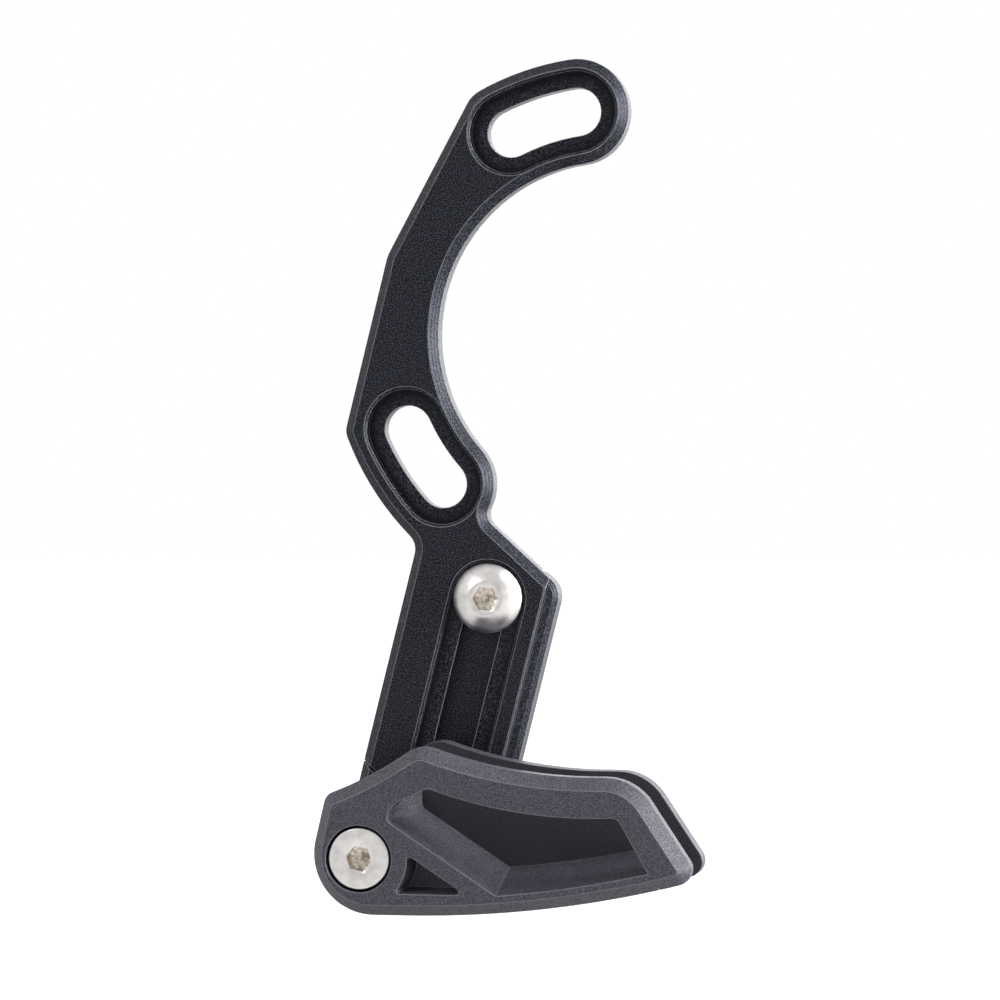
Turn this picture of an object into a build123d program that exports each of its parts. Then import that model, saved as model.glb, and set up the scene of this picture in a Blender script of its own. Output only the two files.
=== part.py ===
"""Bicycle chain guide for the tabs around a bottom bracket.

A machined plate bolts to the tabs through two arc slots. A slider laps the plate's tongue and moves along
its stepped slot to suit the chainring, and carries a moulded guide with a channel that the chain runs in.

Frame: the origin is on the bottom bracket axis, at the plate's mounting face. X is to the right and Z is
up, looking at the outboard side. Heights are measured outboard from the mounting face, along -Y.
"""

import os
from math import asin, cos, degrees, radians, sin, sqrt, tan

from build123d import *

os.makedirs("parts", exist_ok=True)

# Tab pattern: slots for the M6 tab bolts, on a circle about the bottom bracket axis
tab_circle_d = 59.0
tab_slot_w = 6.3
upper_slot_start_angle = 98.1
upper_slot_end_angle = 116.0
lower_slot_start_angle = 204.8
lower_slot_end_angle = 221.6

# Mounting plate
plate_t = 4.0
lobe_margin = 6.9
heel_margin = 7.9
waist_w = 8.7
crown_land = 0.1
waist_angle = 160.3
heel_angle = 199.8
crown_fillet = 4.0
waist_fillet = 6.0
heel_fillet = 2.5
outer_neck_fillet = 2.5
inner_neck_fillet = 2.0
edge_chamfer = 1.2
back_break = 0.3
seam_break = 0.2
seat_depth = 1.7
seat_rim = 0.35
seat_land = 0.05

# Arm: the tongue and the slider share these lines, measured from the adjuster bolt
arm_lean = 14.0
adjuster_right = 9.67
adjuster_drop = 13.03
arm_left_w = 11.1
arm_right_w = 9.0
seam_right = 7.2
shoulder_angle = 28.5
shoulder_rise = 8.4
tongue_t = 2.5
tongue_end = 9.0
tongue_slant_w = 11.2
slide_travel = 22.0
head_seat_depth = 1.2

# Slider
slider_base_t = 2.6
slider_lap = 0.5
rail_bevel = 1.5
rail_corner = 3.0
slider_break = 0.6
lug_r = 5.8

# Chain guide: the guide bolt's place, then sizes measured from that bolt
guide_below_tongue = 4.2
pad_d = 10.0
pad_h = 0.4
inner_wall_t = 3.6
channel_w = 8.6
outer_wall_t = 4.3
guide_lean = 13.0
corner_left = 4.8
corner_up = 8.0
corner_sag = 0.5
hump_right = 7.5
hump_up = 14.7
top_up = 10.7
top_from = 29.5
top_to = 35.4
tip_right = 43.9
tip_drop = 2.1
bottom_drop = 7.4
bottom_to = 5.5
corner_fillet = 1.8
bottom_fillet = 7.8
hump_fillet = 3.5
top_fillet = 7.0
tip_fillet = 2.0
bevel_w = 1.5
bevel_h = 2.4
guide_break = 0.5

# Strut, floor and bolt boss in the channel, which grow towards the rear so that the mould's core pulls out
strut_angle = 33.3
strut_foot = 17.9
strut_foot_rear = 17.35
floor_t = 2.45
floor_t_rear = 4.85
floor_to = 38.5
boss_side = 3.7
boss_side_rear = 5.65
boss_up = 8.6
boss_fillet = 1.2

# Window in the outer wall
window_left = 3.75
window_left_up = 6.75
window_apex = 9.0
window_apex_up = 9.2
window_sag = 20.0
window_sag_up = 6.4
window_to = 33.5
window_to_up = 5.8
window_lean = 29.6
window_fillet = 1.2
window_left_fillet = 2.8
window_floor_fillet = 0.8

# Lightening pocket between the bolt and the strut
pocket_r = 6.3
pocket_rib = 2.1
pocket_floor = 3.0
pocket_depth = 4.0
pocket_draft = 8.0
pocket_fillet = 0.4

# Locating peg on the guide's back, which stops it turning on the bolt
peg_d = 3.0
peg_l = 2.0
peg_right = 7.0
peg_below_tongue = 3.0

# Screws, M5 with 3 mm hex sockets
thread_d = 5.0
hex_af = 3.0
tip_chamfer = 0.5
button_d = 9.2
button_h = 2.75
button_rim = 0.35
button_crown = 2.3
button_dome_r = 5.06
button_hex_depth = 1.6
button_hex_turn = 11.0
adjuster_stand_out = 0.6
low_head_d = 8.0
low_head_h = 3.5
low_head_round = 0.25
low_head_hex_depth = 2.2
low_head_hex_turn = -12.0
guide_bolt_stand_out = 0.3

# Clearances
slide_gap = 0.05
seam_gap = 0.1
end_gap = 0.25
shank_gap = 0.1
head_gap = 0.2
head_sink = 0.3
counterbore_gap = 0.3
peg_gap = 0.1

# Cutting shapes run this far past what they cut
beyond = 20.0


def polar(radius, angle):
    """A point about the bottom bracket axis, as seen from outboard."""
    return Vector(radius * cos(radians(angle)), radius * sin(radians(angle)))


def crossing(start, direction, centre, radius):
    """The point where a line that starts inside a circle leaves it."""
    offset = start - centre
    run = offset.dot(direction)
    return start + direction * (sqrt(run**2 - offset.dot(offset) + radius**2) - run)


def tab_slot(start, end, width):
    """An arc slot on the tab circle."""
    SlotArc(Edge.make_circle(tab_r, start_angle=start, end_angle=end), width)


def socket_screw(seat, shank, head_d, head_h, rim, crown, round_r, hex_depth, hex_turn):
    """A turned screw: shank below the seat plane, head above it with a rounded top, hex socket in it."""
    with BuildPart() as screw:
        with BuildSketch(Plane(seat.origin, x_dir=seat.x_dir, z_dir=-seat.y_dir)):
            with BuildLine():
                Polyline(
                    (0, head_h),
                    (0, -shank),
                    (thread_d / 2 - tip_chamfer, -shank),
                    (thread_d / 2, tip_chamfer - shank),
                    (thread_d / 2, 0),
                    (head_d / 2, 0),
                    (head_d / 2, rim),
                )
                RadiusArc((head_d / 2, rim), (head_d / 2 - crown, head_h), -round_r)
                Line((head_d / 2 - crown, head_h), (0, head_h))
            make_face()
        revolve(axis=Axis(seat.origin, seat.z_dir))
        with BuildSketch(seat.offset(head_h)):
            RegularPolygon(hex_af / 2, 6, major_radius=False, rotation=hex_turn)
        extrude(amount=-hex_depth, mode=Mode.SUBTRACT)
    return screw


# Shared places, in the plate's plane
tab_r = tab_circle_d / 2
inner_r = tab_r - lobe_margin
heel_r = tab_r + heel_margin
bracket_axis = Vector(0, 0)
lower_end = polar(tab_r, lower_slot_end_angle)
lean = radians(arm_lean)
across = Vector(cos(lean), -sin(lean))
upward = Vector(sin(lean), cos(lean))
adjuster = lower_end + across * adjuster_right - upward * adjuster_drop
shoulder_slope = tan(radians(shoulder_angle))
tongue_drop = slide_travel + tongue_end
tongue_left_drop = tongue_drop - tongue_slant_w * shoulder_slope
guide_at = (lug_r - arm_left_w, -tongue_drop - guide_below_tongue)
peg_at = (guide_at[0] + peg_right, -tongue_drop - peg_below_tongue)


def on_arm(right, up):
    """A point of the arm in the plate's plane, measured from the adjuster bolt."""
    return adjuster + across * right + upward * up


def meets_slider(edge):
    """Whether an edge round the plate's front lies against the slider."""
    place = arm.to_local_coords(edge.center())
    return place.X > seam_right - seam_gap or place.Y < -tongue_left_drop


def shoulder(right):
    """Height of the slanted shoulder line above the adjuster bolt."""
    return shoulder_rise - shoulder_slope * right


slider_top = shoulder(seam_right) + slider_lap

# Heights of the faces that pieces meet at
tongue_back = plate_t - tongue_t
lap = tongue_back - slide_gap
slider_back = lap - slider_base_t
head_seat = plate_t - head_seat_depth
guide_back = plate_t + pad_h
channel_back = guide_back + inner_wall_t
channel_front = channel_back + channel_w
guide_front = channel_front + outer_wall_t
guide_bolt_seat = guide_front - head_sink - low_head_h

guide_axis = on_arm(*guide_at)
arm = Plane((adjuster.X, 0, adjuster.Y), x_dir=(across.X, 0, across.Y), z_dir=(0, -1, 0))
guide = Plane((guide_axis.X, 0, guide_axis.Y), x_dir=(1, 0, 0), z_dir=(0, -1, 0))

# Mounting plate: a lobe round each slot, a waist between them, and the tongue
upper_end = polar(tab_r + lobe_margin, upper_slot_end_angle)
waist = polar(inner_r + waist_w, waist_angle)
to_lobe = polar(tab_r, upper_slot_end_angle) - waist
left_swing = degrees(asin((lobe_margin + crown_land) / to_lobe.length))
left_edge = to_lobe.normalized().rotate(Axis.Z, left_swing)
crown = crossing(waist, left_edge, bracket_axis, tab_r + lobe_margin)
heel = polar(heel_r, heel_angle)
heel_out = polar(heel_r + beyond, (heel_angle + lower_slot_end_angle) / 2)
neck_out = on_arm(0, -beyond)
tongue_root = on_arm(-arm_left_w, adjuster_drop)
shoulder_root = on_arm(-adjuster_right, shoulder(-adjuster_right))
shoulder_end = on_arm(seam_right, shoulder(seam_right))
tongue = [
    tongue_root,
    on_arm(-arm_left_w, -tongue_left_drop),
    on_arm(tongue_slant_w - arm_left_w, -tongue_drop),
    on_arm(seam_right, -tongue_drop),
    shoulder_end,
    shoulder_root,
]
outer_neck = crossing(tongue_root, -upward, bracket_axis, heel_r)
inner_neck = crossing(shoulder_root, (shoulder_end - shoulder_root).normalized(), lower_end, lobe_margin)
seat_w = 2 * (lobe_margin - edge_chamfer - seat_rim - seat_land)

with BuildPart() as mounting_plate:
    with BuildSketch(Plane.XZ) as plate_outline:
        Polygon(bracket_axis, upper_end, crown, waist, heel, heel_out, neck_out, lower_end)
        Circle(heel_r, mode=Mode.INTERSECT)
        tab_slot(upper_slot_start_angle, upper_slot_end_angle, 2 * lobe_margin)
        with Locations(lower_end):
            Circle(lobe_margin)
        Polygon(*tongue)
        Circle(inner_r, mode=Mode.SUBTRACT)
        for vertex, radius in (
            (crown, crown_fillet),
            (waist, waist_fillet),
            (heel, heel_fillet),
            (outer_neck, outer_neck_fillet),
            (inner_neck, inner_neck_fillet),
        ):
            fillet(plate_outline.vertices().sort_by_distance(vertex)[0], radius)
    extrude(amount=plate_t)

    # The outline is chamfered all round, apart from the edges that meet the slider, which are only broken
    rim = mounting_plate.faces().sort_by(Axis.Y)[0].outer_wire().edges()
    chamfer(rim - rim.filter_by(meets_slider), edge_chamfer)
    rim = mounting_plate.faces().sort_by(Axis.Y)[0].outer_wire().edges()
    chamfer(rim.filter_by(meets_slider), seam_break)
    chamfer(mounting_plate.faces().sort_by(Axis.Y)[-1].outer_wire().edges(), back_break)

    # Seats for the tab bolts' heads, then their slots
    with BuildSketch(Plane.XZ.offset(plate_t)):
        tab_slot(upper_slot_start_angle, upper_slot_end_angle, seat_w)
        tab_slot(lower_slot_start_angle, lower_slot_end_angle, seat_w)
    extrude(amount=-seat_depth, mode=Mode.SUBTRACT)
    with BuildSketch(Plane.XZ):
        tab_slot(upper_slot_start_angle, upper_slot_end_angle, tab_slot_w)
        tab_slot(lower_slot_start_angle, lower_slot_end_angle, tab_slot_w)
    extrude(amount=plate_t, mode=Mode.SUBTRACT)

    # The tongue is thinned from the back, where the slider laps it, and its slot is stepped for the head
    with BuildSketch(arm):
        with Locations((0, slider_top + end_gap)):
            Rectangle(2 * (arm_left_w + beyond), tongue_drop + beyond, align=(Align.CENTER, Align.MAX))
    extrude(amount=tongue_back, mode=Mode.SUBTRACT)
    with BuildSketch(arm):
        with Locations((0, -slide_travel / 2)):
            SlotCenterToCenter(slide_travel, thread_d + 2 * shank_gap, rotation=90)
    extrude(amount=plate_t, mode=Mode.SUBTRACT)
    with BuildSketch(arm.offset(head_seat)):
        with Locations((0, -slide_travel / 2)):
            SlotCenterToCenter(slide_travel, button_d + 2 * head_gap, rotation=90)
    extrude(amount=head_seat_depth, mode=Mode.SUBTRACT)
    front = mounting_plate.faces().sort_by(Axis.Y)[0]
    chamfer(front.inner_wires().edges(), seat_rim)

# Slider: a base under the tongue, a rail beside it and a full height shoulder with the lug below it
rail_top = shoulder(arm_right_w)

with BuildPart() as slider:
    with BuildSketch(arm.offset(slider_back)):
        with BuildLine():
            Polyline(
                (-arm_left_w, slider_top),
                (seam_right - slider_lap / shoulder_slope, slider_top),
                (arm_right_w, rail_top),
                (arm_right_w, guide_at[1]),
            )
            CenterArc(guide_at, lug_r, 0, 360)
        make_hull()
    extrude(amount=plate_t - slider_back)
    rail_edge = arm.from_local_coords((arm_right_w, rail_top, 0))
    fillet(slider.edges().filter_by(Axis.Y).sort_by_distance(rail_edge)[0], rail_corner)

    # The rail has a wider bevel than the rest of the outline
    slider_rim = slider.faces().sort_by(Axis.Y)[0].outer_wire().edges()
    beside_rail = slider_rim.filter_by(
        lambda edge: arm.to_local_coords(edge.center()).X > seam_right - rail_corner
        and guide_at[1] < arm.to_local_coords(edge.center()).Y < slider_top - seam_gap
    )
    chamfer(beside_rail, rail_bevel)
    slider_rim = slider.faces().sort_by(Axis.Y)[0].outer_wire().edges()
    beside_guide = slider_rim.filter_by(
        lambda edge: arm.to_local_coords(edge.center()).X < seam_right - rail_bevel
    )
    chamfer(beside_guide, edge_chamfer)
    chamfer(slider.faces().sort_by(Axis.Y)[-1].outer_wire().edges(), slider_break)

    # The pocket that the tongue lies in
    with BuildSketch(arm.offset(lap)):
        Polygon(
            (seam_right + seam_gap, slider_top + beyond),
            (-arm_left_w - beyond, slider_top + beyond),
            (-arm_left_w - beyond, beyond * shoulder_slope - tongue_left_drop - end_gap),
            (tongue_slant_w - arm_left_w, -tongue_drop - end_gap),
            (seam_right + seam_gap, -tongue_drop - end_gap),
        )
    extrude(amount=plate_t, mode=Mode.SUBTRACT)

    # Tapped holes for the two bolts, and the peg's hole
    with Locations(arm.offset(plate_t)):
        with Locations((0, 0), guide_at):
            Hole(thread_d / 2)
        with Locations(peg_at):
            Hole(peg_d / 2 + peg_gap, depth=peg_l + peg_gap)

# Chain guide: outline, channel and window, then what holds it
bottom_r = ((tip_right - bottom_to) ** 2 + (bottom_drop - tip_drop) ** 2) / (2 * (bottom_drop - tip_drop))
corner = Vector(-corner_left, corner_up)
hump = Vector(hump_right, hump_up)
top_start = Vector(top_from, top_up)
top_end = Vector(top_to, top_up)
tip = Vector(tip_right, -tip_drop)
bottom_end = Vector(bottom_to, -bottom_drop)
corner_rise = (hump - corner).normalized()
corner_middle = (hump + corner) / 2 + Vector(corner_rise.Y, -corner_rise.X) * corner_sag
bottom_corner = Vector(corner.X - (corner.Y + bottom_drop) * tan(radians(guide_lean)), -bottom_drop)


def floor_at(right, thickness):
    """A point on the channel's floor, which follows the round of the guide's bottom edge."""
    drop = sqrt((bottom_r - thickness) ** 2 - (right - bottom_to) ** 2)
    return Vector(right, bottom_r - bottom_drop - drop)


# What the mould's core fills: all above the floor, the strut and the bolt's boss that the strut runs up
# to, and past the floor's end, where the tips of both walls are free
strut_normal = Vector(sin(radians(strut_angle)), cos(radians(strut_angle)))
strut_slope = tan(radians(strut_angle))
core_left = bottom_corner.X - beyond
core_top = hump_up + beyond
core_right = tip_right + beyond
core_low = -bottom_drop - beyond

with BuildPart() as core:
    for height, foot, thickness, side in (
        (channel_back, strut_foot_rear, floor_t_rear, boss_side_rear),
        (guide_front, strut_foot, floor_t, boss_side),
    ):
        foot_at = floor_at(foot, thickness)
        floor_end = floor_at(floor_to, thickness)
        strut_top = Vector(side, foot_at.Y + (foot_at.X - side) * strut_slope)
        boss_top = Vector(side, boss_up)
        with BuildSketch(guide.offset(height)) as core_outline:
            with BuildLine():
                Polyline(
                    floor_end,
                    (floor_to, core_low),
                    (core_right, core_low),
                    (core_right, core_top),
                    (core_left, core_top),
                    (core_left, boss_up),
                    boss_top,
                    strut_top,
                    foot_at,
                )
                ThreePointArc(foot_at, floor_at((foot + floor_to) / 2, thickness), floor_end)
            make_face()
            for vertex in (boss_top, strut_top):
                fillet(core_outline.vertices().sort_by_distance(vertex)[0], boss_fillet)
    loft(ruled=True)

with BuildPart() as channel:
    add(core.part)
    split(bisect_by=guide.offset(channel_front), keep=Keep.BOTTOM)

with BuildPart() as window:
    add(core.part)
    with BuildSketch(guide.offset(channel_back)) as window_outline:
        with BuildLine():
            apex = Vector(window_apex, window_apex_up)
            top_right = Vector(window_to, window_to_up)
            left = Vector(window_left, window_left_up)
            right_foot = Vector(window_to + (window_to_up - core_low) * tan(radians(window_lean)), core_low)
            ThreePointArc(apex, (window_sag, window_sag_up), top_right)
            Polyline(top_right, right_foot, (window_left, core_low), left, apex)
        make_face()
        for vertex, radius in ((apex, window_fillet), (top_right, window_fillet), (left, window_left_fillet)):
            fillet(window_outline.vertices().sort_by_distance(vertex)[0], radius)
    extrude(amount=guide_front - channel_back, mode=Mode.INTERSECT)
    floor_corner = window.faces().sort_by(Axis.Y)[0].vertices().sort_by(Axis.X)[-1]
    fillet(
        window.edges().filter_by(Plane.XZ, reverse=True).sort_by_distance(floor_corner)[0],
        window_floor_fillet,
    )

with BuildPart() as chain_guide:
    with BuildSketch(guide.offset(guide_back)) as guide_outline:
        with BuildLine():
            ThreePointArc(hump, corner_middle, corner)
            Polyline(corner, bottom_corner, bottom_end)
            TangentArc(bottom_end, tip, tangent=(1, 0))
            Polyline(tip, top_end, top_start)
            TangentArc(top_start, hump, tangent=(-1, 0))
        make_face()
        for vertex, radius in (
            (hump, hump_fillet),
            (corner, corner_fillet),
            (bottom_corner, bottom_fillet),
            (tip, tip_fillet),
            (top_end, top_fillet),
        ):
            fillet(guide_outline.vertices().sort_by_distance(vertex)[0], radius)
    extrude(amount=guide_front - guide_back)
    front = chain_guide.faces().sort_by(Axis.Y)[0]
    chamfer(front.edges(), bevel_w, bevel_h, reference=front)
    chamfer(chain_guide.faces().sort_by(Axis.Y)[-1].edges(), guide_break)
    add(channel.part, mode=Mode.SUBTRACT)
    add(window.part, mode=Mode.SUBTRACT)

    # Lightening pocket: round the bolt's boss, along the strut, and above the bottom edge
    rib_foot = floor_at(strut_foot, floor_t) - strut_normal * pocket_rib
    pocket_low = pocket_floor - bottom_drop
    pocket_right = rib_foot.X - (pocket_low - rib_foot.Y) / strut_slope
    with BuildSketch(guide.offset(guide_front)) as pocket:
        with BuildLine():
            Polyline(
                (0, pocket_low),
                (pocket_right, pocket_low),
                (0, pocket_low + pocket_right * strut_slope),
                close=True,
            )
        make_face()
        Circle(pocket_r, mode=Mode.SUBTRACT)
        fillet(pocket.vertices().sort_by(Axis.X)[-3:], pocket_fillet)
    extrude(amount=-pocket_depth, taper=pocket_draft, mode=Mode.SUBTRACT)

    # Bolt hole with its pad, and the locating peg
    with BuildSketch(guide.offset(plate_t)):
        Circle(pad_d / 2)
    extrude(amount=pad_h)
    with BuildSketch(arm.offset(plate_t - peg_l)):
        with Locations(peg_at):
            Circle(peg_d / 2)
    extrude(amount=peg_l + pad_h)
    with Locations(guide.offset(guide_front)):
        CounterBoreHole(thread_d / 2 + shank_gap, low_head_d / 2 + counterbore_gap, head_sink + low_head_h)

# Screws
adjuster_bolt = socket_screw(
    arm.offset(head_seat + slide_gap),
    head_seat + slide_gap - slider_back + adjuster_stand_out,
    button_d,
    button_h,
    button_rim,
    button_crown,
    button_dome_r,
    button_hex_depth,
    button_hex_turn,
)
guide_bolt = socket_screw(
    guide.offset(guide_bolt_seat),
    guide_bolt_seat - slider_back + guide_bolt_stand_out,
    low_head_d,
    low_head_h,
    low_head_h - low_head_round,
    low_head_round,
    low_head_round,
    low_head_hex_depth,
    low_head_hex_turn,
)

for piece, name in (
    (mounting_plate, "mounting_plate"),
    (slider, "slider"),
    (chain_guide, "chain_guide"),
    (adjuster_bolt, "adjuster_bolt"),
    (guide_bolt, "guide_bolt"),
):
    piece.part.label = name
    export_step(piece.part, f"parts/{name}.step")
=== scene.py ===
"""Looks for a bicycle chain guide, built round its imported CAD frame, in metres.

The order is that of assembly: the plate, the slider that laps it, the bolt that clamps the two, the moulded
guide, and the bolt that holds it, then the studio.
"""

from math import cos, floor, pi, radians, sin, sqrt

import bpy
from mathutils import Matrix, Vector


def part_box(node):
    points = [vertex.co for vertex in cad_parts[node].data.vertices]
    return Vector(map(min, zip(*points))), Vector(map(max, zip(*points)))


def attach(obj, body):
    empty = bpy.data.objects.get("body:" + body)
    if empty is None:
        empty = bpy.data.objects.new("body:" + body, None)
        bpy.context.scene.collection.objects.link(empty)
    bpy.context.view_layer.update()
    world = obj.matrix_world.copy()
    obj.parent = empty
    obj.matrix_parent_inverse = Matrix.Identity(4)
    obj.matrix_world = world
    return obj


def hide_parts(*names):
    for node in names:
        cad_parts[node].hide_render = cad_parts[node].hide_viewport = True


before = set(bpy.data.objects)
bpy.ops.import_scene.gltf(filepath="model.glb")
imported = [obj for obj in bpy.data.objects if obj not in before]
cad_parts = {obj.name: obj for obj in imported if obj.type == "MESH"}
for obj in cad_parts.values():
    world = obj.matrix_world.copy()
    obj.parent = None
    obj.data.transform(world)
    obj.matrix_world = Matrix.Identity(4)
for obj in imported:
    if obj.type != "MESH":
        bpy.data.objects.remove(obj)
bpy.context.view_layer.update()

# Mounting plate
# A flat plate milled from aluminium bar, with chamfered edges and sunk seats round its two arc slots. It is
# bead blasted and then anodised black. Two bolts through the slots hold it to the frame's tabs.
MM = 0.001
EASED_EDGE = 0.18 * MM
DENT = 0.16 * MM
DENT_DEPTH = 0.06 * MM
GLOSS_PATCH = 6.0 * MM
CUTTER_STEP = 0.34 * MM
CUTTER_STEP_DEPTH = 0.03 * MM
# How far the ambient occlusion looks for walls, for the painted shade of recesses
SHADE_REACH = 3.0 * MM
# The length over which a wave texture of scale 1 repeats
WAVE_PERIOD = 2 * pi / 20


def linear(hex_colour):
    """An sRGB hex colour as linear RGBA."""
    channels = [int(hex_colour[i : i + 2], 16) / 255 for i in (1, 3, 5)]
    return [c / 12.92 if c <= 0.04045 else ((c + 0.055) / 1.055) ** 2.4 for c in channels] + [1.0]


def add_node(tree, kind, links=None, stops=(), **settings):
    """Adds a node. Links feed its inputs, and settings are its own properties or its inputs' values.

    Stops are the places and hex colours of a colour ramp.
    """
    node = tree.nodes.new(kind)
    for name, value in settings.items():
        if hasattr(node, name):
            setattr(node, name, value)
        else:
            node.inputs[name.replace("_", " ")].default_value = value
    for i, (place, hex_colour) in enumerate(stops):
        node.color_ramp.elements[i].position = place
        node.color_ramp.elements[i].color = linear(hex_colour)
    for name, source in (links or {}).items():
        tree.links.new(source, node.inputs[name])
    return node


def new_material(name):
    """An empty material and its node tree."""
    material = bpy.data.materials.new(name)
    material.use_nodes = True
    material.node_tree.nodes.clear()
    return material, material.node_tree


def eased_edges_and_highlight_mask(tree, radius, starts, full):
    """The normal with edges eased to a radius, and a mask of the sharp edges, where the materials paint a
    highlight.

    The mask goes from 0 to 1 between two cosines of the turn from the face's own normal to the eased one.
    """
    eased = add_node(tree, "ShaderNodeBevel", samples=6, Radius=radius).outputs["Normal"]
    own = add_node(tree, "ShaderNodeNewGeometry").outputs["Normal"]
    turn = add_node(tree, "ShaderNodeVectorMath", {0: eased, 1: own}, operation="DOT_PRODUCT")
    mask = add_node(
        tree, "ShaderNodeMapRange", {"Value": turn.outputs["Value"]}, From_Min=starts, From_Max=full
    )
    return eased, mask.outputs["Result"]


def dress(node, material):
    """Gives a CAD node one material all over."""
    node.data.materials.clear()
    node.data.materials.append(material)


# Black anodised aluminium, bead blasted: a blue black with a satin sheen, and the beads' dents in its bump.
# Pale speckles at the dents are painted glints, and the cutter's steps show as fine lines along the chamfers.
# Sharp edges are painted pale grey as a highlight, and recesses and corners are painted blacker as shade.
# What shows is the dyed oxide film, so it isn't metallic. Dents and steps are drawn about twice their size,
# so that they show
anodised, tree = new_material("black_anodised_aluminium")
place = add_node(tree, "ShaderNodeTexCoord").outputs["Object"]
dents = add_node(tree, "ShaderNodeTexNoise", {"Vector": place}, Scale=1 / DENT, Detail=2.0).outputs["Fac"]
# Pale speckles at the dents: painted glints on the black of the dye
dye_and_dent_glints = add_node(tree, "ShaderNodeValToRGB", {"Fac": dents}, stops=((0.485, "#000001"), (0.60, "#43454e")))
# Painted highlight: sharp edges are mixed towards a pale grey
eased, edge_highlight_mask = eased_edges_and_highlight_mask(tree, EASED_EDGE, starts=0.985, full=0.91)
edge_highlighted = add_node(
    tree,
    "ShaderNodeMixRGB",
    {"Fac": edge_highlight_mask, "Color1": dye_and_dent_glints.outputs["Color"]},
    Color2=linear("#b8b9c0"),
)
# Painted shade: the colour is darkened where the ambient occlusion node finds recesses and corners
occlusion = add_node(tree, "ShaderNodeAmbientOcclusion", samples=8, only_local=True, Distance=SHADE_REACH)
recess_shade = add_node(
    tree,
    "ShaderNodeMapRange",
    {"Value": occlusion.outputs["AO"]},
    From_Min=0.6,
    From_Max=0.92,
    To_Min=0.1,
    To_Max=1.0,
)
shaded_colour = add_node(
    tree,
    "ShaderNodeMixRGB",
    {"Color1": edge_highlighted.outputs["Color"], "Color2": recess_shade.outputs["Result"]},
    blend_type="MULTIPLY",
    Fac=1.0,
)
patches = add_node(tree, "ShaderNodeTexNoise", {"Vector": place}, Scale=1 / GLOSS_PATCH, Detail=2.0)
gloss = add_node(
    tree,
    "ShaderNodeMapRange",
    {"Value": patches.outputs["Fac"]},
    From_Min=0.3,
    From_Max=0.7,
    To_Min=0.30,
    To_Max=0.37,
)
steps = add_node(
    tree,
    "ShaderNodeTexWave",
    {"Vector": place},
    bands_direction="Y",
    Scale=WAVE_PERIOD / CUTTER_STEP,
    Distortion=0.4,
    Detail=2.0,
)
stepped = add_node(
    tree,
    "ShaderNodeBump",
    {"Height": steps.outputs["Fac"], "Normal": eased},
    Strength=0.5,
    Distance=CUTTER_STEP_DEPTH,
)
dented = add_node(
    tree,
    "ShaderNodeBump",
    {"Height": dents, "Normal": stepped.outputs["Normal"]},
    Strength=0.6,
    Distance=DENT_DEPTH,
)
shader = add_node(
    tree,
    "ShaderNodeBsdfPrincipled",
    {
        "Base Color": shaded_colour.outputs["Color"],
        "Roughness": gloss.outputs["Result"],
        "Normal": dented.outputs["Normal"],
    },
    Metallic=0.0,
    Specular_IOR_Level=0.25,
    Specular_Tint=linear("#e8ecff"),
)
add_node(tree, "ShaderNodeOutputMaterial", {"Surface": shader.outputs["BSDF"]})
dress(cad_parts["mounting_plate"], anodised)

# Slider
# A second piece of the same aluminium, with the same finish. Its base runs under the plate's tongue and its
# rail beside it, so it can only move along the arm. It carries the guide on the lug at its lower end.
dress(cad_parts["slider"], anodised)

# Adjuster bolt
# An M5 button head screw, turned from stainless steel with a broached hex socket. It runs in the plate's
# stepped slot and pulls the slider up against the tongue.
LATHE_PITCH = 0.22 * MM
LATHE_DEPTH = 0.01 * MM
SMUDGE = 1.2 * MM
OIL_FILM = 0.6 * MM

# Stainless steel, turned and passivated: bright and a little warm, with fine rings from the lathe. The rings
# are drawn coarser than they are, so that they show
turned, tree = new_material("stainless_steel_turned")
place = add_node(tree, "ShaderNodeTexCoord").outputs["Object"]
lathe = add_node(
    tree,
    "ShaderNodeTexWave",
    {"Vector": place},
    wave_type="RINGS",
    rings_direction="Z",
    Scale=WAVE_PERIOD / LATHE_PITCH,
    Distortion=2.0,
    Detail=2.0,
)
smudge = add_node(tree, "ShaderNodeTexNoise", {"Vector": place}, Scale=1 / SMUDGE, Detail=3.0).outputs["Fac"]
colour = add_node(tree, "ShaderNodeValToRGB", {"Fac": smudge}, stops=((0.3, "#e9e5e3"), (0.7, "#fffcfa")))
gloss = add_node(
    tree,
    "ShaderNodeMapRange",
    {"Value": smudge},
    From_Min=0.3,
    From_Max=0.7,
    To_Min=0.28,
    To_Max=0.34,
)
ridges = add_node(
    tree, "ShaderNodeBump", {"Height": lathe.outputs["Fac"]}, Strength=0.15, Distance=LATHE_DEPTH
)
shader = add_node(
    tree,
    "ShaderNodeBsdfPrincipled",
    {
        "Base Color": colour.outputs["Color"],
        "Roughness": gloss.outputs["Result"],
        "Normal": ridges.outputs["Normal"],
    },
    Metallic=1.0,
)
add_node(tree, "ShaderNodeOutputMaterial", {"Surface": shader.outputs["BSDF"]})

# Stainless steel, broached: the socket isn't polished, and keeps a brown film of cutting oil
broached, tree = new_material("stainless_steel_broached")
place = add_node(tree, "ShaderNodeTexCoord").outputs["Object"]
film = add_node(tree, "ShaderNodeTexNoise", {"Vector": place}, Scale=1 / OIL_FILM, Detail=3.0).outputs["Fac"]
colour = add_node(tree, "ShaderNodeValToRGB", {"Fac": film}, stops=((0.35, "#b8aa98"), (0.65, "#f4ede2")))
shader = add_node(
    tree, "ShaderNodeBsdfPrincipled", {"Base Color": colour.outputs["Color"]}, Metallic=1.0, Roughness=0.25
)
add_node(tree, "ShaderNodeOutputMaterial", {"Surface": shader.outputs["BSDF"]})

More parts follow.
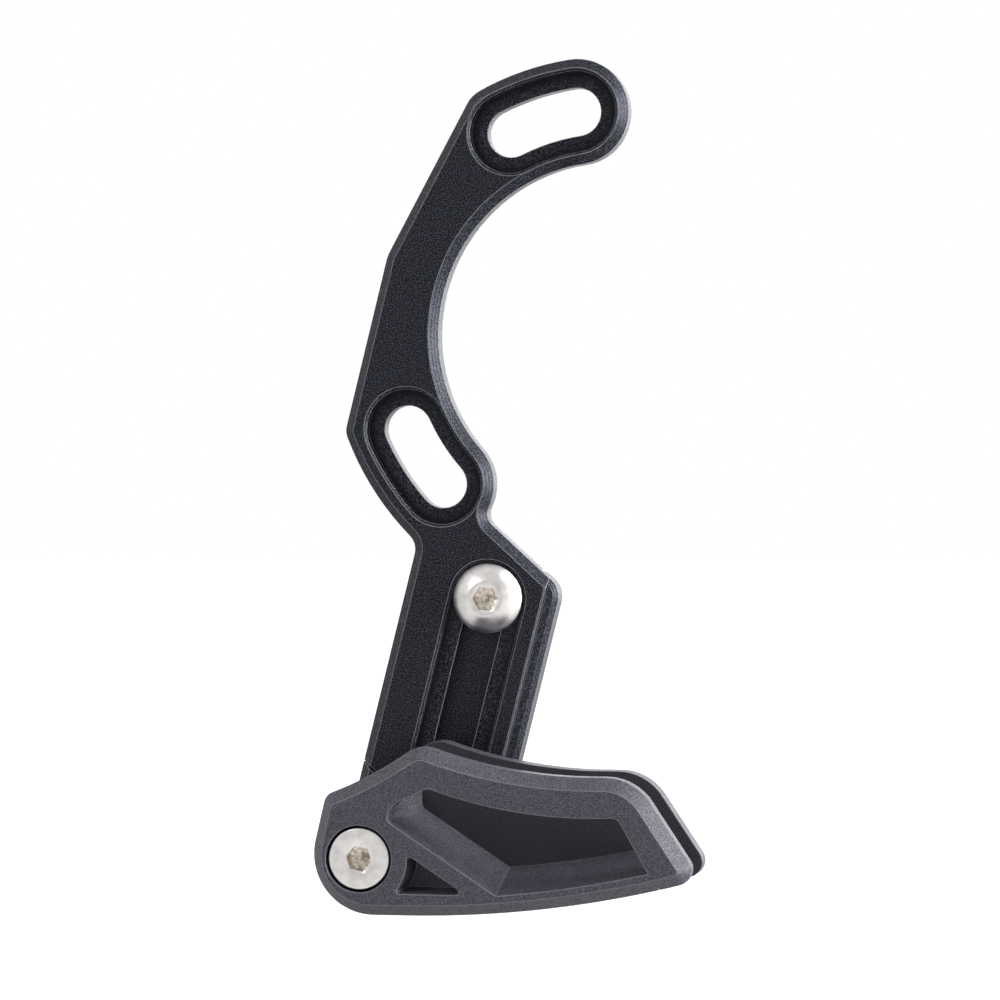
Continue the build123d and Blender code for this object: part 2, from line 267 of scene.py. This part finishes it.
# Sizes of both screws, in millimetres. Crest and flank are shares of half a pitch, and the socket's point is
# what the drill leaves below the hexagon
SEGMENTS = 96
RING_STEP = 0.1
SHARP_FROM = radians(24)
PITCH = 0.8
CREST = 0.15
FLANK = 0.7
THREAD_R = 2.5
THREAD_DEPTH = 0.46
TIP_CHAMFER = 0.5
NECK_ROUND = 0.05
UNDERSIDE_BREAK = 0.1
HEX_AF = 3.0
SOCKET_CHAMFER_R = 1.95
SOCKET_CHAMFER_H = 0.1
POINT_DEPTH = 0.5
POINT_TIP = 0.55
POINT_SHARES = (0.12, 0.4, 0.7, 0.98)
angles = [2 * pi * i / SEGMENTS for i in range(SEGMENTS)]


def hex_radius(angle):
    """Distance from the axis to the socket's side, with a corner at angle 0."""
    sixth = pi / 3
    return HEX_AF / 2 / cos((angle % sixth) - sixth / 2)


def thread_radius(angle, height, tip):
    """Radius of the thread's crest, flank or root, and of the tip's chamfer."""
    phase = (height - tip) / PITCH - angle / (2 * pi)
    saw = abs(2 * (phase - floor(phase)) - 1)
    sunk = min(1.0, max(0.0, (saw - CREST) / FLANK))
    return min(THREAD_R - THREAD_DEPTH * sunk, THREAD_R - TIP_CHAMFER + height - tip)


def screw_rings(head, hex_depth, shank):
    """Rings of radius and height from the socket's point to the tip, and how many of them are the socket's.

    The head is a list of radius and height, from the edge of its flat top down to its underside.
    """
    head_h = head[0][1]
    floor_h = head_h - hex_depth
    rings = []
    for share in POINT_SHARES:
        height = floor_h - POINT_DEPTH * (1 - share)
        rings.append([(share * hex_radius(a), height) for a in angles])
    for height in (floor_h, floor_h + hex_depth / 2, head_h - SOCKET_CHAMFER_H):
        rings.append([(hex_radius(a), height) for a in angles])
    in_socket = len(rings)
    half_way = head_h - SOCKET_CHAMFER_H / 2
    rings.append([((SOCKET_CHAMFER_R + hex_radius(a)) / 2, half_way) for a in angles])
    rings.append([(SOCKET_CHAMFER_R, head_h)] * SEGMENTS)
    rings.append([((head[0][0] + SOCKET_CHAMFER_R) / 2, head_h)] * SEGMENTS)
    rings += [[point] * SEGMENTS for point in head]
    rings.append([(THREAD_R + NECK_ROUND, 0.0)] * SEGMENTS)
    count = round(shank / RING_STEP)
    for i in range(1, count + 1):
        height = -shank * i / count
        rings.append([(thread_radius(a, height, -shank), height) for a in angles])
    return rings, in_socket


def skin_faces(ring_count):
    """Faces over rings of vertices, with a fan round a single vertex before the first and after the last."""
    sides = [(j, (j + 1) % SEGMENTS) for j in range(SEGMENTS)]
    faces = [(0, 1 + k, 1 + j) for j, k in sides]
    for i in range(ring_count - 1):
        this, following = 1 + i * SEGMENTS, 1 + (i + 1) * SEGMENTS
        faces += [(this + j, this + k, following + k, following + j) for j, k in sides]
    end = 1 + (ring_count - 1) * SEGMENTS
    tip = end + SEGMENTS
    faces += [(tip, end + j, end + k) for j, k in sides]
    return faces


def socket_screw(name, bolt, head, hex_depth, hex_turn):
    """A screw in a CAD bolt's place, as one skin from the socket's point to the tip.

    Its sizes are in millimetres. Up is outboard, which is towards -Y, and the head's seat is at height 0.
    """
    low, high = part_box(bolt)
    middle = (low + high) / 2
    head_h = head[0][1]
    seat = low.y + head_h * MM
    shank = (high.y - seat) / MM
    rings, in_socket = screw_rings(head, hex_depth, shank)
    vertices = [(0, 0, head_h - hex_depth - POINT_TIP)]
    for ring in rings:
        for a, (r, height) in zip(angles, ring):
            vertices.append((r * cos(a + hex_turn), r * sin(a + hex_turn), height))
    vertices.append((0, 0, -shank))
    faces = skin_faces(len(rings))
    socket_faces = SEGMENTS * in_socket

    mesh = bpy.data.meshes.new(name)
    mesh.from_pydata([Vector(v) * MM for v in vertices], [], faces)
    mesh.polygons.foreach_set("use_smooth", [True] * len(faces))
    mesh.set_sharp_from_angle(angle=SHARP_FROM)
    mesh.materials.append(turned)
    mesh.materials.append(broached)
    mesh.polygons.foreach_set("material_index", [int(i < socket_faces) for i in range(len(faces))])
    screw = bpy.data.objects.new(name, mesh)
    bpy.context.scene.collection.objects.link(screw)
    to_seat = Matrix.Translation((middle.x, seat, middle.z))
    screw.matrix_world = to_seat @ Matrix.Rotation(pi / 2, 4, "X")
    return screw


# The button's dome is the arc through the top of its rim and the edge of its flat
BUTTON_R = 4.6
BUTTON_H = 2.75
BUTTON_RIM = 1.0
BUTTON_FLAT_R = 2.3
BUTTON_HEX_DEPTH = 1.6
BUTTON_HEX_TURN = radians(-3)
DOME_STEPS = 16
rim_square = BUTTON_R**2 + BUTTON_RIM**2
flat_square = BUTTON_FLAT_R**2 + BUTTON_H**2
dome_centre = (rim_square - flat_square) / (2 * (BUTTON_RIM - BUTTON_H))
dome_r = sqrt(BUTTON_R**2 + (BUTTON_RIM - dome_centre) ** 2)
button = []
for i in range(DOME_STEPS + 1):
    radius = BUTTON_FLAT_R + (BUTTON_R - BUTTON_FLAT_R) * i / DOME_STEPS
    button.append((radius, dome_centre + sqrt(dome_r**2 - radius**2)))
button += [(BUTTON_R, UNDERSIDE_BREAK), (BUTTON_R - UNDERSIDE_BREAK, 0.0)]
adjuster = socket_screw("adjuster_screw", "adjuster_bolt", button, BUTTON_HEX_DEPTH, BUTTON_HEX_TURN)
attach(adjuster, "carrier")
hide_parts("adjuster_bolt")

# Chain guide
# One moulding in dark grey nylon: two walls with the chain's channel between them, a window in the outer
# wall and a strut from the bolt's boss to the floor. The mould is spark finished, so its skin is matt.
GRAIN = 0.15 * MM
DRAWN_GRAIN = 0.5 * MM
GRAIN_DEPTH = 0.05 * MM
FLOW_PATCH = 9.0 * MM
MOULD_EDGE = 0.22 * MM
EDGE_ROUGHNESS = 0.16
# Depth of the channel's far wall, inboard of which outboard faces get painted shade, and the length it fades
# in over
SHADE_FROM = -9.5 * MM
SHADE_FADE = 1.0 * MM

# Moulded nylon: a matt dark grey with a fine even grain, and a soft broad sheen. Its sharp edges are
# smoother, and are painted paler as a highlight. The channel's far wall is painted darker as shade. The grain
# is drawn about twice its size, so that it shows, and is longer along the way the mould opens
nylon, tree = new_material("moulded_grey_nylon")
place = add_node(tree, "ShaderNodeTexCoord").outputs["Object"]
drawn = add_node(tree, "ShaderNodeMapping", {"Vector": place}, Scale=(1.0, GRAIN / DRAWN_GRAIN, 1.0))
grain = add_node(
    tree, "ShaderNodeTexNoise", {"Vector": drawn.outputs["Vector"]}, Scale=1 / GRAIN, Detail=2.0
).outputs["Fac"]
colour = add_node(tree, "ShaderNodeValToRGB", {"Fac": grain}, stops=((0.37, "#2c2b32"), (0.65, "#605e69")))
eased, edge_highlight_mask = eased_edges_and_highlight_mask(tree, MOULD_EDGE, starts=0.997, full=0.96)
# Painted highlight: sharp edges are mixed towards a paler grey, and are made smoother further down
skin = add_node(
    tree,
    "ShaderNodeMixRGB",
    {"Fac": edge_highlight_mask, "Color1": colour.outputs["Color"]},
    Color2=linear("#84828c"),
)
# Painted shade on the channel's far wall: faces that look outboard and lie inboard of the depth above are
# darkened
depth = add_node(tree, "ShaderNodeSeparateXYZ", {"Vector": place})
within = add_node(
    tree,
    "ShaderNodeMapRange",
    {"Value": depth.outputs["Y"]},
    From_Min=SHADE_FROM,
    From_Max=SHADE_FROM + SHADE_FADE,
)
normal = add_node(tree, "ShaderNodeNewGeometry").outputs["Normal"]
outboard = add_node(tree, "ShaderNodeSeparateXYZ", {"Vector": normal})
facing = add_node(
    tree, "ShaderNodeMapRange", {"Value": outboard.outputs["Y"]}, From_Min=-0.90, From_Max=-0.97
)
far_wall_shade = add_node(
    tree,
    "ShaderNodeMath",
    {0: within.outputs["Result"], 1: facing.outputs["Result"]},
    operation="MULTIPLY",
)
shaded_nylon = add_node(
    tree,
    "ShaderNodeMixRGB",
    {"Fac": far_wall_shade.outputs["Value"], "Color1": skin.outputs["Color"]},
    blend_type="MULTIPLY",
    Color2=linear("#b4b4b4"),
)
flow = add_node(tree, "ShaderNodeTexNoise", {"Vector": place}, Scale=1 / FLOW_PATCH, Detail=2.0)
gloss = add_node(
    tree,
    "ShaderNodeMapRange",
    {"Value": flow.outputs["Fac"]},
    From_Min=0.3,
    From_Max=0.7,
    To_Min=0.46,
    To_Max=0.56,
)
polish = add_node(
    tree, "ShaderNodeMix", {"Factor": edge_highlight_mask, "A": gloss.outputs["Result"]}, B=EDGE_ROUGHNESS
)
grained = add_node(
    tree, "ShaderNodeBump", {"Height": grain, "Normal": eased}, Strength=0.35, Distance=GRAIN_DEPTH
)
shader = add_node(
    tree,
    "ShaderNodeBsdfPrincipled",
    {
        "Base Color": shaded_nylon.outputs["Color"],
        "Roughness": polish.outputs["Result"],
        "Normal": grained.outputs["Normal"],
    },
    Metallic=0.0,
    IOR=1.53,
    Specular_IOR_Level=0.3,
)
add_node(tree, "ShaderNodeOutputMaterial", {"Surface": shader.outputs["BSDF"]})
dress(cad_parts["chain_guide"], nylon)

# Guide bolt
# A low head M5 screw of the same steel, in the guide's counterbore. It runs through the guide's boss into
# the slider's lug.
LOW_HEAD_R = 4.0
LOW_HEAD_H = 3.5
LOW_HEAD_ROUND = 0.25
LOW_HEX_DEPTH = 2.2
LOW_HEX_TURN = radians(-12)
ROUND_STEPS = 6
low_head = []
for i in range(ROUND_STEPS + 1):
    turn = pi / 2 * i / ROUND_STEPS
    radius = LOW_HEAD_R - LOW_HEAD_ROUND * (1 - sin(turn))
    low_head.append((radius, LOW_HEAD_H - LOW_HEAD_ROUND * (1 - cos(turn))))
low_head += [(LOW_HEAD_R, UNDERSIDE_BREAK), (LOW_HEAD_R - UNDERSIDE_BREAK, 0.0)]
guide_screw = socket_screw("guide_screw", "guide_bolt", low_head, LOW_HEX_DEPTH, LOW_HEX_TURN)
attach(guide_screw, "carrier")
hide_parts("guide_bolt")

# Studio
# A pale floor of matt paper well below the part, a white surround, and four soft boxes: a strong one from
# the right, a large one from behind, and two weak ones from the upper right and the upper left.
FLOOR_Z = -0.12
FLOOR_REACH = 3.0
FLOOR_IN_MIRRORS = 0.3
corners = [(-1, -1), (1, -1), (1, 1), (-1, 1)]
floor_mesh = bpy.data.meshes.new("floor")
floor_mesh.from_pydata([(x * FLOOR_REACH, y * FLOOR_REACH, FLOOR_Z) for x, y in corners], [], [(0, 1, 2, 3)])
sweep = bpy.data.objects.new("floor", floor_mesh)
bpy.context.scene.collection.objects.link(sweep)


def background_rays(tree):
    """Two masks: rays that show the background itself, and rays that mirror it."""
    ray = add_node(tree, "ShaderNodeLightPath").outputs
    seen = add_node(
        tree,
        "ShaderNodeMath",
        {0: ray["Is Camera Ray"], 1: ray["Is Transmission Ray"]},
        operation="MAXIMUM",
    )
    return seen.outputs["Value"], ray["Is Glossy Ray"]


# White paper: matt, and lifted to white where a ray shows the background, less so where it is mirrored
paper, tree = new_material("white_paper_sweep")
seen, mirrored = background_rays(tree)
lifted = add_node(tree, "ShaderNodeMath", {0: mirrored, 2: seen}, operation="MULTIPLY_ADD")
lifted.inputs[1].default_value = FLOOR_IN_MIRRORS
matt = add_node(tree, "ShaderNodeBsdfDiffuse", Color=linear("#b2b2b2"))
white = add_node(tree, "ShaderNodeEmission", {"Strength": lifted.outputs["Value"]}, Color=linear("#e6e6e6"))
both = add_node(tree, "ShaderNodeAddShader", {0: matt.outputs["BSDF"], 1: white.outputs["Emission"]})
add_node(tree, "ShaderNodeOutputMaterial", {"Surface": both.outputs["Shader"]})
sweep.data.materials.append(paper)

# The surround is white to the camera and where mirrored from behind the part, and dimmer where mirrored from
# in front of it. It lights the part most from both sides and least from above, so recesses stay dark
LIGHT_FROM_SIDES = 1.6
LIGHT_FROM_FRONT = 0.45
LIGHT_FROM_TOP = 0.2
MIRRORED_FRONT = 0.56
WHITE = 1.0
world = bpy.data.worlds.new("white_surround")
bpy.context.scene.world = world
world.use_nodes = True
tree = world.node_tree
tree.nodes.clear()
seen, mirrored = background_rays(tree)
way = add_node(tree, "ShaderNodeTexCoord").outputs["Generated"]
towards = add_node(tree, "ShaderNodeSeparateXYZ", {"Vector": way})
mirror_level = add_node(
    tree,
    "ShaderNodeMapRange",
    {"Value": towards.outputs["Y"]},
    From_Min=-0.6,
    From_Max=0.5,
    To_Min=MIRRORED_FRONT,
    To_Max=WHITE,
)
squares = add_node(tree, "ShaderNodeVectorMath", {0: way, 1: way}, operation="MULTIPLY")
lit = add_node(tree, "ShaderNodeVectorMath", {0: squares.outputs["Vector"]}, operation="DOT_PRODUCT")
lit.inputs[1].default_value = (LIGHT_FROM_SIDES, LIGHT_FROM_FRONT, LIGHT_FROM_TOP)
level = add_node(
    tree,
    "ShaderNodeMix",
    {"Factor": mirrored, "A": lit.outputs["Value"], "B": mirror_level.outputs["Result"]},
)
strength = add_node(tree, "ShaderNodeMix", {"Factor": seen, "A": level.outputs["Result"]}, B=WHITE)
glow = add_node(
    tree, "ShaderNodeBackground", {"Strength": strength.outputs["Result"]}, Color=linear("#ffffff")
)
add_node(tree, "ShaderNodeOutputWorld", {"Surface": glow.outputs["Background"]})

MIDDLE = (-12, 0, -20)


def soft_box(name, place, wide, high, power):
    """A soft box at a place in millimetres, turned to the middle of the part."""
    data = bpy.data.lights.new(name, "AREA")
    data.shape = "RECTANGLE"
    data.size = wide * MM
    data.size_y = high * MM
    data.energy = power
    lamp = bpy.data.objects.new(name, data)
    lamp.location = Vector(place) * MM
    lamp.rotation_euler = (Vector(MIDDLE) - Vector(place)).to_track_quat("-Z", "Y").to_euler()
    lamp.visible_camera = False
    bpy.context.scene.collection.objects.link(lamp)


soft_box("right_soft_box", place=(650, -20, 20), wide=380, high=700, power=12.0)
soft_box("top_right_soft_box", place=(430, -120, 470), wide=260, high=260, power=0.9)
soft_box("left_soft_box", place=(-405, -430, 300), wide=200, high=200, power=0.9)
soft_box("back_soft_box", place=(150, 700, 60), wide=700, high=700, power=2.8)

# The camera has a long lens, and stands a little to the right of the part and level with it. Its focal length
# is in pixels of a square picture
FOCAL_PIXELS = 4159.0
PICTURE_PIXELS = 1000.0
SENSOR_W = 36.0
CAMERA_AT = Vector((85.3, -540.7, -13.07)) * MM
CAMERA_AIM = Vector((-14.878, 0, -21.709)) * MM
camera_data = bpy.data.cameras.new("camera")
camera_data.sensor_width = SENSOR_W
camera_data.lens = FOCAL_PIXELS / PICTURE_PIXELS * SENSOR_W
camera = bpy.data.objects.new("camera", camera_data)
camera.location = CAMERA_AT
camera.rotation_euler = (CAMERA_AIM - CAMERA_AT).to_track_quat("-Z", "Y").to_euler()
bpy.context.scene.collection.objects.link(camera)
bpy.context.scene.camera = camera
bpy.context.scene.view_settings.view_transform = "Standard"
